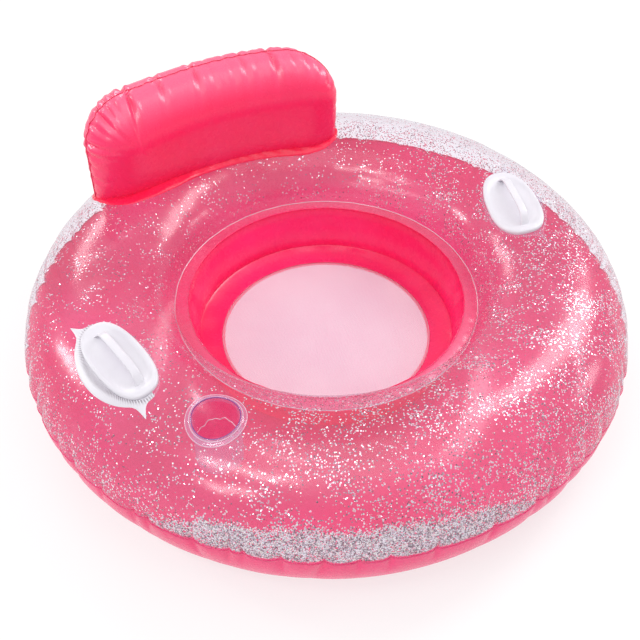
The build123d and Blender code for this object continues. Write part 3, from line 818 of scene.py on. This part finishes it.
# ------------------------------------------------------------------ handles
def moulded(name, centre_r, ang, yaw, pa, pb, side_out):
    """One handle: pointed weld patch, oval dished plate and strap, laid on the ring's curved face."""
    a = math.radians(ang)
    er_ = np.array([math.cos(a), math.sin(a)])
    et_ = np.array([-math.sin(a), math.cos(a)])
    c = centre_r * er_
    q = math.radians(yaw)               # local x along the ring and turned by yaw, local y towards the seat
    x_dir = math.cos(q) * et_ - math.sin(q) * er_
    y_dir = -math.sin(q) * et_ - math.cos(q) * er_

    def lay(x, y, h):
        X = c[0] + x * x_dir[0] + y * y_dir[0]
        Y = c[1] + x * x_dir[1] + y * y_dir[1]
        z = surf_z(np.hypot(X, Y))
        n = surf_n(X, Y)
        return np.stack([X, Y, z], -1) + n * np.asarray(h)[..., None]

    out = []
    # patch: polar grid over the union of a pointed oval and an ellipse
    nA, nR = 720, 16
    ph = np.arange(nA) * TAU / nA

    def oval(A_, B_):
        return A_ * B_ / np.sqrt((B_ * np.cos(ph)) ** 2 + (A_ * np.sin(ph)) ** 2)
    outer_side = np.clip(0.5 - np.sin(ph) * 4, 0, 1)
    tip = np.minimum(np.abs(wrap(ph + 0.20)), np.abs(wrap(ph - math.pi - 0.20)))
    edge = oval(pa + 0.008, pb + 0.007) * (1 - outer_side) + oval(pa + 0.011, side_out) * outer_side + 0.029 * np.exp(-(tip / 0.050) ** 1.2)
    rib = 0.5 + 0.5 * np.cos(ph * 144)
    rho = np.concatenate([[0.50], np.linspace(0.6, 1.0, nR - 1)])
    Rg = edge[:, None] * rho[None, :]
    over = Rg - oval(pa + 0.001, pb + 0.001)[:, None]
    band = np.exp(-((over - 0.0065) / 0.0045) ** 2)
    h = 0.0013 + 0.0022 * band * rib[:, None]
    h = np.where(rho[None, :] > 0.995, 0.0004, h)
    top = lay(Rg * np.cos(ph)[:, None], Rg * np.sin(ph)[:, None], h)
    ob = new_mesh(name + "_weld_patch", top.reshape(-1, 3), grid_faces(nA, len(rho), close_u=True))
    # mask of the painted groove shade: strongest between the ribs of the raised band
    gr_ = ob.data.attributes.new("painted_groove_shade", "FLOAT", "POINT")
    gr_.data.foreach_set("value", (band * (1 - rib[:, None]) ** 2).astype(np.float32).ravel())
    out.append(ob)

    # plate
    nA = 192
    ph = np.arange(nA) * TAU / nA
    rho = np.array([0.0, 0.12, 0.25, 0.38, 0.50, 0.60, 0.68, 0.74, 0.79, 0.83, 0.865, 0.90, 0.935, 0.965, 0.985, 0.996, 1.0, 1.0, 0.995])
    hh = np.array([3.6, 3.6, 3.6, 3.7, 3.9, 4.2, 4.8, 5.7, 6.9, 8.1, 9.0, 9.5, 9.6, 9.2, 8.1, 6.6, 4.8, 2.2, 1.2]) / 1000
    full = np.abs(np.cos(ph)) ** 2.5 + np.abs(np.sin(ph)) ** 2.5
    Rx = pa * rho[None, :] * (np.cos(ph) / full ** 0.4)[:, None]
    Ry = pb * rho[None, :] * (np.sin(ph) / full ** 0.4)[:, None]
    H = np.broadcast_to(hh, Rx.shape)
    pts = lay(Rx[:, 1:], Ry[:, 1:], H[:, 1:])
    cen = lay(np.array([0.0]), np.array([0.0]), np.array([hh[0]]))
    Vv = np.vstack([pts.reshape(-1, 3), cen])
    nr_ = len(rho) - 1
    Ff = [tuple(q) for q in grid_faces(nA, nr_, close_u=True)]
    ci = len(Vv) - 1
    Ff += [(ci, ((i + 1) % nA) * nr_, i * nr_) for i in range(nA)]
    plate = new_mesh(name + "_plate", Vv, Ff)
    out.append(plate)

    # strap: rounded flat section along an arch
    L = 0.073
    path = np.array([(-L, 2.0), (-L + .003, 6.0), (-L + .008, 12.0), (-L + .015, 18.0), (-L + .025, 22.6), (-L + .038, 24.8), (-L + .055, 25.3),
                     (0, 25.0), (L - .055, 25.3), (L - .038, 24.8), (L - .025, 22.6), (L - .015, 18.0), (L - .008, 12.0), (L - .003, 6.0), (L, 2.0)])
    path[:, 1] /= 1000
    pl = arclen(path)
    cc = catmull(path, np.linspace(0, pl[-1], 72))
    tg = np.gradient(cc, axis=0)
    tg /= np.linalg.norm(tg, axis=1, keepdims=True)
    nm = np.stack([-tg[:, 1], tg[:, 0]], 1)
    w, t = 0.0075, 0.0019
    kq = np.arange(20) * TAU / 20
    px = np.sign(np.cos(kq)) * np.abs(np.cos(kq)) ** 0.55 * w
    pz = np.sign(np.sin(kq)) * np.abs(np.sin(kq)) ** 0.55 * t
    flare = 1 + 0.35 * np.exp(-np.minimum(np.linspace(0, pl[-1], 72), pl[-1] - np.linspace(0, pl[-1], 72)) / 0.006)
    X = cc[:, None, 0] + nm[:, None, 0] * pz[None, :]
    Hh = cc[:, None, 1] + nm[:, None, 1] * pz[None, :]
    Yy = px[None, :] * flare[:, None]
    zc = float(surf_z(centre_r))
    Xw = c[0] + X * x_dir[0] + Yy * y_dir[0]
    Yw = c[1] + X * x_dir[1] + Yy * y_dir[1]
    nc = surf_n(c[0], c[1])
    base_z = surf_z(np.hypot(Xw, Yw)) * 0.35 + zc * 0.65
    pts = np.stack([Xw, Yw, base_z + Hh], -1)
    Fs = [tuple(q) for q in grid_faces(72, 20, close_v=True)]
    Fs += [tuple(range(20))[::-1], tuple(71 * 20 + i for i in range(20))]
    strap = new_mesh(name + "_strap", pts.reshape(-1, 3), Fs)
    out.append(strap)
    return out


for nm_, rr_, aa_, yaw_, pa_, pb_, so_ in (("left", 0.452, -172.0, -0.5, 0.098, 0.0440, 0.0680), ("right", 0.405, -8.0, -10.0, 0.094, 0.0490, 0.0600)):
    patch, plate, strap = moulded(nm_ + "_handle", rr_, aa_, yaw_, pa_, pb_, so_)
    finish_piece(patch, M_WHITE_RIB, "ring", [nm_ + "_handle_patch"])
    patch.data.materials.append(M_CLEAR_PATCH)
    nph, nrw = 720, 16
    for pl_ in patch.data.polygons:
        a_ = (pl_.vertices[0] // nrw + 0.5) / nph * 360.0
        pl_.material_index = 1 if (nm_ == "right" or 4.0 < a_ < 176.0) else 0
    finish_piece(plate, M_WHITE, "ring", [nm_ + "_handle_grip"])
    finish_piece(strap, M_WHITE, "ring")

# ------------------------------------------------------------------ drink holder
nA = 160
ph = np.arange(nA) * TAU / nA


def cup_pt(r, h, wave=0.0):
    """A point on radius r round the holder's axis, h over the ring's face."""
    x = CUP[0] + r * np.cos(ph)
    y = CUP[1] + r * np.sin(ph)
    z = surf_z(np.hypot(x, y))
    nn = surf_n(x, y)
    return np.stack([x, y, z], -1) + nn * np.array([0.25, 0.25, 1.0]) * (h + wave)


lipr = [(0.0401, -0.004), (0.0401, 0.001), (0.0402, 0.0035), (0.0407, 0.0053), (0.0418, 0.0062), (0.0430, 0.0058), (0.0438, 0.0044), (0.0443, 0.0030), (0.0456, 0.0022), (0.0480, 0.0018), (0.0500, 0.0015), (0.0510, 0.0008), (0.0510, 0.0002)]
G = np.stack([cup_pt(r, h) for r, h in lipr], 1)
lip = new_mesh("cup_holder_lip", G.reshape(-1, 3), grid_faces(nA, len(lipr), close_u=True, flip=True))
finish_piece(lip, M_LIP, "ring", ["cup_holder_flange"])
for nm_, rad_, up_, tube, mt in (("cup_holder_bore_edge", 0.0406, 0.0046, 0.0010, M_LIP_EDGE), ("cup_holder_lip_edge", 0.0441, 0.0036, 0.0008, M_LINE), ("cup_holder_flange_edge", 0.0508, 0.0009, 0.0007, M_LINE)):
    kx = np.arange(8) * TAU / 8
    ring_rows = np.stack([cup_pt(rad_ + tube * math.cos(t_), up_ + tube * math.sin(t_)) for t_ in kx], 1)
    bead_ = new_mesh(nm_, ring_rows.reshape(-1, 3), grid_faces(nA, 8, close_u=True, close_v=True))
    finish_piece(bead_, mt, "ring")
# the pocket's fold line: a thin wavy tube on its wall whose pale hazed film is a painted glint along the fold
kx = np.arange(8) * TAU / 8
pf = np.radians(np.linspace(-18, 138, 90))
fz = CUP_TOP - 0.046 - 0.014 * np.abs((pf - math.radians(60)) / math.radians(78)) ** 1.6 + 0.0022 * np.sin(pf * 9 + 1) + 0.0014 * np.sin(pf * 17)
taper = np.clip(1 - np.abs((pf - math.radians(60)) / math.radians(78)) ** 6, 0.05, 1)
rows_w = np.stack([np.stack([CUP[0] + (0.0388 + 0.0008 * taper * math.cos(t_)) * np.cos(pf), CUP[1] + (0.0388 + 0.0008 * taper * math.cos(t_)) * np.sin(pf),
                             fz + 0.0008 * taper * math.sin(t_)], -1) for t_ in kx], 1)
wl_ = new_mesh("cup_holder_pocket_fold_glint", rows_w.reshape(-1, 3), grid_faces(90, 8, close_v=True))
finish_piece(wl_, M_LINE, "ring")
rows = []
for i, u in enumerate(np.linspace(0, 1, 26)):
    zz = CUP_TOP + 0.001 - u * 0.097
    wv = 0.0011 * np.sin(ph * 5 + 1.3 + u * 2) * math.sin(math.pi * u) ** 0.7 + 0.0006 * np.sin(ph * 11 + 4 * u) * u
    r = 0.0402 + np.minimum(wv, 0.0006)
    x, y = CUP[0] + r * np.cos(ph), CUP[1] + r * np.sin(ph)
    top_z = surf_z(np.hypot(x, y))
    z = np.full(nA, zz) if u > 0 else top_z
    z = z * u + (top_z - u * 0.097) * (1 - u)
    rows.append(np.stack([x, y, z], -1))
G = np.stack(rows, 1)
sleeve = new_mesh("cup_holder_pocket", G.reshape(-1, 3), grid_faces(nA, len(rows), close_u=True, flip=True))
finish_piece(sleeve, M_MOULD, "ring", ["cup_holder_sleeve"])
zf = rows[-1][:, 2].mean()
rws = []
for r in np.linspace(0.002, 0.0405, 14):
    z = zf - 0.0004 + 0.0010 * math.cos(r / 0.0405 * math.pi * 2.5) * (1 - r / 0.0405) + 0.0008 * np.sin(3 * ph) * (r / 0.04) * (1 - r / 0.0405) * 2
    rws.append(np.stack([CUP[0] + r * np.cos(ph), CUP[1] + r * np.sin(ph), z + 0 * ph], -1))
G = np.stack(rws, 1)
Vb = np.vstack([G.reshape(-1, 3), [[CUP[0], CUP[1], float(G[:, 0, 2].mean())]]])
Fb = [tuple(q) for q in grid_faces(nA, len(rws), close_u=True)] + [(len(Vb) - 1, ((i + 1) % nA) * len(rws), i * len(rws)) for i in range(nA)]
cupb = new_mesh("cup_holder_bottom", Vb, Fb)
finish_piece(cupb, M_MOULD, "ring", ["cup_holder_base"])

# ------------------------------------------------------------------ backrest
Y0, X0, HW, ZT, RC = 0.437, -0.045, 0.2675, 0.4795, 0.094
NAh, NBv = 400, 130


def bend(x):
    """How far the pillow's middle surface comes forward at x from its centre: it follows the ring."""
    return (0.80 + 0.35 * x / HW) * x * x


def place(P):
    P = np.array(P, float)
    x = P[..., 0].copy()
    P[..., 1] -= bend(x)
    P[..., 0] += X0
    return P


def half_width(z):
    t = np.clip((z - (ZT - RC)) / RC, 0, 1)
    return HW - RC + RC * np.sqrt(np.clip(1 - t ** 2, 0, 1))


def outline_distance(x, z):
    """Distance to the perimeter weld and the place along it, for points inside."""
    ax = np.abs(x)
    cx, cz = HW - RC, ZT - RC
    in_corner = (ax > cx) & (z > cz)
    d_c = RC - np.hypot(ax - cx, z - cz)
    d = np.where(in_corner, d_c, np.minimum(HW - ax, ZT - z))
    ang = np.arctan2(np.clip(ax - cx, 1e-9, None), np.clip(z - cz, 1e-9, None))
    l_corner = cx + RC * ang
    l_side = cx + RC * math.pi / 2 + (cz - z)
    ell = np.where(in_corner, l_corner, np.where((HW - ax) < (ZT - z), l_side, np.minimum(ax, cx)))
    return np.clip(d, 0, 1), ell * np.sign(x)


# creases of the perimeter weld: place along it, depth, length, width, slant
gp = np.random.default_rng(77)
CREASES = [(-0.094, 0.0045, 0.030, 0.0026, -0.30), (-0.015, 0.0050, 0.036, 0.0026, -0.35), (0.018, 0.0016, 0.050, 0.0030, -0.3), (0.060, 0.0014, 0.045, 0.0030, -0.3),
           (0.087, 0.0042, 0.030, 0.0026, -0.30), (0.112, 0.0018, 0.040, 0.0030, -0.3), (0.148, 0.0060, 0.044, 0.0030, -0.30), (0.186, 0.0052, 0.046, 0.0030, -0.1),
           (0.216, 0.0050, 0.042, 0.0030, 0.0), (0.243, 0.0044, 0.036, 0.0028, 0.1), (0.270, 0.0030, 0.040, 0.0030, 0.1), (0.300, 0.0028, 0.034, 0.0030, 0.0),
           (-0.165, 0.0066, 0.060, 0.0030, -0.25), (-0.198, 0.0052, 0.044, 0.0028, -0.1), (-0.216, 0.0046, 0.040, 0.0026, 0.0), (-0.236, 0.0062, 0.056, 0.0030, 0.0),
           (-0.262, 0.0040, 0.034, 0.0028, 0.1), (-0.302, 0.0064, 0.050, 0.0030, 0.3), (-0.326, 0.0050, 0.040, 0.0028, 0.2), (-0.352, 0.0022, 0.030, 0.0030, 0.0), (-0.384, 0.0046, 0.034, 0.0028, 0.25), (-0.425, 0.0020, 0.026, 0.0030, 0.0),
           (0.345, 0.0030, 0.030, 0.0030, 0.0), (0.392, 0.0026, 0.030, 0.0030, 0.0)]
FINE = [(gp.uniform(-0.45, 0.45), gp.uniform(0.0004, 0.0012), gp.uniform(0.008, 0.016), gp.uniform(0.0018, 0.0028), 0.0) for _ in range(70)]


def thickness(d, x, z, zfoot, t0):
    q = np.clip(1 - d / 0.098, 0, 1)
    t = t0 * np.sqrt(1 - q ** 2.1)
    foot = np.clip(z - zfoot, 0, 1)
    return t * (1 - 0.17 * np.exp(-foot / 0.030))


def pillow(sign, t0, seed):
    al = np.linspace(-1, 1, NAh)
    a = np.sin(al * math.pi / 2) * 0.62 + al * 0.38
    be = np.linspace(0, 1, NBv)
    b = 1 - (1 - be) ** 2.0 * 0.5 - (1 - be) * 0.5
    x0 = a * HW
    z_guess = np.full_like(a, 0.27)
    for _ in range(14):
        d, _l = outline_distance(x0, z_guess)
        t_foot = thickness(d, x0, z_guess, z_guess, t0)
        yw = Y0 + sign * t_foot - bend(x0)
        z_guess = surf_z(np.minimum(np.hypot(x0 + X0, yw), R_OUT - 0.001)) - 0.0010
    zb = z_guess
    A, Bv = np.meshgrid(a, b, indexing="ij")
    Z = zb[:, None] + (ZT - zb[:, None]) * Bv
    Xg = A * half_width(Z)
    D, ELL = outline_distance(Xg, Z)
    Tt = thickness(D, Xg, Z, zb[:, None] + 0 * Z, t0)
    P = np.stack([Xg, Y0 + sign * Tt, Z], -1)
    du = np.gradient(P, axis=0)
    dv = np.gradient(P, axis=1)
    n = np.cross(du, dv)
    n /= np.linalg.norm(n, axis=-1, keepdims=True) + 1e-12
    if (n[NAh // 2, NBv // 2, 1] * sign) < 0:
        n = -n
    s = np.minimum(np.hypot(D, Tt * 0.75), 0.2)
    dsp = np.zeros_like(D)
    g2 = np.random.default_rng(seed)
    for (l0, dep, ln, wd, sl) in CREASES + FINE:
        flat_run = abs(l0) < 0.17
        dep, ln, wd = (1.45 if flat_run else 1.10) * dep, (1.2 if flat_run else 0.72) * ln, 0.85 * wd
        if sign > 0:
            l0, sl = l0 + g2.uniform(-0.004, 0.004), -sl
        x = np.abs(ELL - l0 - sl * s * 0.5)
        dsp -= dep * np.exp(-x / (wd + 0.10 * s)) * np.exp(-(s / ln) ** 1.7)
        dsp += 0.30 * dep * np.exp(-((x - 0.008 - 0.1 * s) / 0.005) ** 2) * np.exp(-(s / ln) ** 1.7)
    foot = Z - zb[:, None]
    for _ in range(14):
        c_ = g2.uniform(-HW, HW)
        x = np.abs(Xg - c_ - g2.uniform(-0.4, 0.4) * foot)
        dsp -= g2.uniform(0.0004, 0.0014) * np.exp(-x / (0.007 + 0.2 * foot)) * np.exp(-(foot / g2.uniform(0.018, 0.045)) ** 1.5)
    wv = np.zeros_like(D)
    for _ in range(10):
        wv += np.sin(Xg * g2.uniform(8, 34) + Z * g2.uniform(-36, 36) + g2.uniform(0, TAU))
    dsp += 0.0008 * wv / 3 * np.clip(D / 0.03, 0, 1)
    dsp *= np.clip(D / 0.0015, 0, 1)
    P = P + n * dsp[..., None]
    w = np.clip(1 - D / 0.0015, 0, 1)[..., None]
    P[..., 1:2] = P[..., 1:2] * (1 - w) + Y0 * w
    return place(P), grid_faces(NAh, NBv, flip=(sign < 0))


for sign, t0, nm_, node, seed in ((-1, 0.0800, "backrest_front_panel", "backrest_front_skin", 5), (1, 0.0745, "backrest_rear_panel", "backrest_rear_skin", 6)):
    P, Fp = pillow(sign, t0, seed)
    V = P.reshape(-1, 3)
    if sign > 0:
        V, Fp = cut_hole(V, Fp, (X0, 0.513, 0.372), (0, 1, 0), 0.0098, 0.03)
        keep = np.unique(Fp)
        remap = -np.ones(len(V), int)
        remap[keep] = np.arange(len(keep))
        V, Fp = V[keep], remap[Fp]
    ob = new_mesh(nm_, V, Fp)
    ob.data.materials.append(M_PINK_REST)
    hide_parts(node)
    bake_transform(ob)

# perimeter weld of the backrest: a narrow flat ribbon that weaves a little
pts = []
cx, cz = HW - RC, ZT - RC
for z in np.linspace(0.2665, cz, 80)[:-1]:
    pts.append((-HW, z, -1.0, 0.0))
for t in np.linspace(0, math.pi / 2, 90):
    pts.append((-cx - RC * math.cos(t), cz + RC * math.sin(t), -math.cos(t), math.sin(t)))
for x in np.linspace(-cx, cx, 240)[1:-1]:
    pts.append((x, ZT, 0.0, 1.0))
for t in np.linspace(math.pi / 2, 0, 90):
    pts.append((cx + RC * math.cos(t), cz + RC * math.sin(t), math.cos(t), math.sin(t)))
for z in np.linspace(cz, 0.2865, 80)[1:]:
    pts.append((HW, z, 1.0, 0.0))
pts = np.array(pts)
gw = np.random.default_rng(4)
ll = arclen(pts[:, :2])
wy = 0.0012 * sum(np.sin(ll * gw.uniform(40, 260) + gw.uniform(0, TAU)) for _ in range(6)) / 2.4
mid = ll[len(ll) // 2]
for (l0, dep, ln, wd, sl) in CREASES:
    wy += 0.35 * dep * np.exp(-((ll - mid - l0) / 0.004) ** 2)
sec = [(-0.004, -0.0007), (0.0010, -0.0007), (0.0014, 0.0), (0.0010, 0.0007), (-0.004, 0.0007)]
G = np.stack([np.stack([pts[:, 0] + pts[:, 2] * o, Y0 + wy + y_, pts[:, 1] + pts[:, 3] * o], -1) for o, y_ in sec], 1)
rb_ = new_mesh("backrest_perimeter_weld", place(G).reshape(-1, 3), grid_faces(len(pts), len(sec), close_v=True))
rb_.data.materials.append(M_PINK_WELD)
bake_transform(rb_)

# base flange: a band of film welded to the ring, all round the backrest's foot
nb = 480
aa = np.linspace(-math.pi, math.pi, nb, endpoint=False)


def polar_of(xs, ys):
    """Radius over normalised angle of a closed outline given as points."""
    p = np.arctan2(np.asarray(ys) / 0.085, np.asarray(xs) / 0.268)
    o = np.argsort(p)
    r = np.hypot(np.asarray(xs) / 0.268, np.asarray(ys) / 0.085)[o]
    p = p[o]
    pp = np.concatenate([p[-8:] - TAU, p, p[:8] + TAU])
    rr2 = np.concatenate([r[-8:], r, r[:8]])
    R = np.interp(aa, pp, rr2)
    ker = np.hanning(21)
    ker /= ker.sum()
    Rp = np.concatenate([R[-20:], R, R[:20]])
    return np.convolve(Rp, ker, "same")[20:-20]


tq = np.linspace(0, TAU, 400, endpoint=False)
ex = 2.7
ox = 0.262 * np.sign(np.cos(tq)) * np.abs(np.cos(tq)) ** (2 / ex)
oy = np.sign(np.sin(tq)) * np.abs(np.sin(tq)) ** (2 / ex)
inner_R = polar_of(ox, oy * np.where(oy < 0, 0.0655, 0.0600))
fx = np.array([-0.272, -0.268, -0.256, -0.228, -0.188, -0.118, -0.068, 0.024, 0.108, 0.182, 0.225, 0.257, 0.270])
fy = -np.array([0.012, 0.036, 0.062, 0.086, 0.093, 0.089, 0.080, 0.077, 0.079, 0.084, 0.070, 0.041, 0.014])
bx_ = 0.272 * np.cos(np.linspace(0.03, math.pi - 0.03, 160))
by_ = 0.0730 * np.clip(1 - np.abs(bx_ / 0.272) ** 3.0, 0, 1) ** (1 / 3.0)
xs_d = np.interp(np.linspace(0, 12, 240), np.arange(13), fx)
ys_d = np.interp(np.linspace(0, 12, 240), np.arange(13), fy)
outer_R = polar_of(np.concatenate([xs_d, bx_]), np.concatenate([ys_d, by_]))
outer_R = np.maximum(outer_R, inner_R + 0.030)
rows = []
wob = 0.5 + 0.5 * np.sin(aa * 46 + 2 * np.sin(aa * 5))
for u, h in ((-0.45, 0.0010), (0.0, 0.0040), (0.12, 0.0036), (0.35, 0.0026), (0.6, 0.0022), (0.85, 0.0019), (0.96, 0.0013), (1.0, 0.0003)):
    R = inner_R + (outer_R - inner_R) * u
    L = np.stack([0.268 * R * np.cos(aa), Y0 + 0.085 * R * np.sin(aa), 0 * aa], -1)
    W = place(L)
    X, Y = W[:, 0], W[:, 1]
    rr_ = np.hypot(X, Y)
    k_ = np.where(rr_ > 0.584, 0.584 / rr_, 1.0)
    X, Y = X * k_, Y * k_
    z = surf_z(np.hypot(X, Y))
    n_ = surf_n(X, Y)
    rows.append(np.stack([X, Y, z], -1) + n_ * (h + 0.0005 * wob * float(0.1 < u < 0.9))[:, None])
G = np.stack(rows, 1)
fl_ = new_mesh("backrest_base_flange", G.reshape(-1, 3), grid_faces(nb, len(rows), close_u=True))
finish_piece(fl_, M_PINK_FOOT, "ring", ["backrest_base_strip"])

# ------------------------------------------------------------------ CAD nodes that stay: better materials
for n in ("ring_valve_flange", "ring_valve_stem", "ring_valve_flap", "ring_valve_plug", "ring_valve_tether",
          "backrest_valve_flange", "backrest_valve_stem", "backrest_valve_flap", "backrest_valve_plug", "backrest_valve_tether"):
    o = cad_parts[n]
    m = M_WHITE
    for sl in o.material_slots:
        sl.material = m
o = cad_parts["seat_weld_ring"]
for sl in o.material_slots:
    sl.material = M_PINK_WELL

# ------------------------------------------------------------------ floor, world, lights
m, nt, out = nodes_of("studio_floor")
n = noise(nt, 0.6, 2, 0.5, obj_coords(nt))
col = ramp(nt, n.outputs["Fac"], [(0.3, (0.965, 0.965, 0.965)), (0.7, (0.975, 0.975, 0.975))])
p = N(nt, "ShaderNodeBsdfDiffuse")
nt.links.new(col.outputs["Color"], p.inputs["Color"])
e = N(nt, "ShaderNodeEmission")
nt.links.new(col.outputs["Color"], e.inputs["Color"])
e.inputs["Strength"].default_value = 1.0
mix = N(nt, "ShaderNodeMixShader")
mix.inputs["Fac"].default_value = 0.72
nt.links.new(p.outputs[0], mix.inputs[1])
nt.links.new(e.outputs[0], mix.inputs[2])
nt.links.new(mix.outputs[0], out.inputs["Surface"])
fl_me = bpy.data.meshes.new("floor")
c = 9.0
fl_me.from_pydata([(-c, -c, -0.0005), (c, -c, -0.0005), (c, c, -0.0005), (-c, c, -0.0005)], [], [(0, 1, 2, 3)])
floor = bpy.data.objects.new("studio_floor", fl_me)
bpy.context.scene.collection.objects.link(floor)
floor.data.materials.append(m)

world = bpy.data.worlds.new("studio")
bpy.context.scene.world = world
world.use_nodes = True
bg = world.node_tree.nodes["Background"]
bg.inputs["Color"].default_value = (1.0, 1.0, 1.0, 1)
bg.inputs["Strength"].default_value = 0.62


def area(name, az, el, dist, sx, sy, power, aim=(0, 0, 0.15), color=(1, 1, 1)):
    """A soft box in the direction az (clockwise from +Y) and el over the floor."""
    a, e = math.radians(az), math.radians(el)
    d = Vector((math.sin(a) * math.cos(e), math.cos(a) * math.cos(e), math.sin(e)))
    l = bpy.data.lights.new(name, "AREA")
    l.shape = "RECTANGLE"
    l.size, l.size_y = sx, sy
    l.energy = power
    l.color = color
    o = bpy.data.objects.new(name, l)
    bpy.context.scene.collection.objects.link(o)
    o.location = Vector(aim) + d * dist
    o.rotation_mode = "QUATERNION"
    o.rotation_quaternion = d.to_track_quat("Z", "Y")
    return o


area("key_right_strip", 88, 42, 3.2, 0.9, 2.2, 48)
area("strip_left_front", -117, 55, 3.2, 1.35, 0.34, 17)
area("box_left_low", -118, 32, 3.2, 0.62, 0.36, 10)
area("box_back_left", -48, 24, 3.2, 0.42, 0.55, 17)
area("box_back", -4, 30, 3.4, 1.2, 0.5, 16)
area("box_right_front", 114, 15, 3.2, 0.5, 0.5, 6)
area("top_fill", 200, 80, 3.4, 2.6, 2.6, 26)

vs = bpy.context.scene.view_settings
vs.view_transform = "Standard"
vs.look = "None"
vs.exposure = 0.0
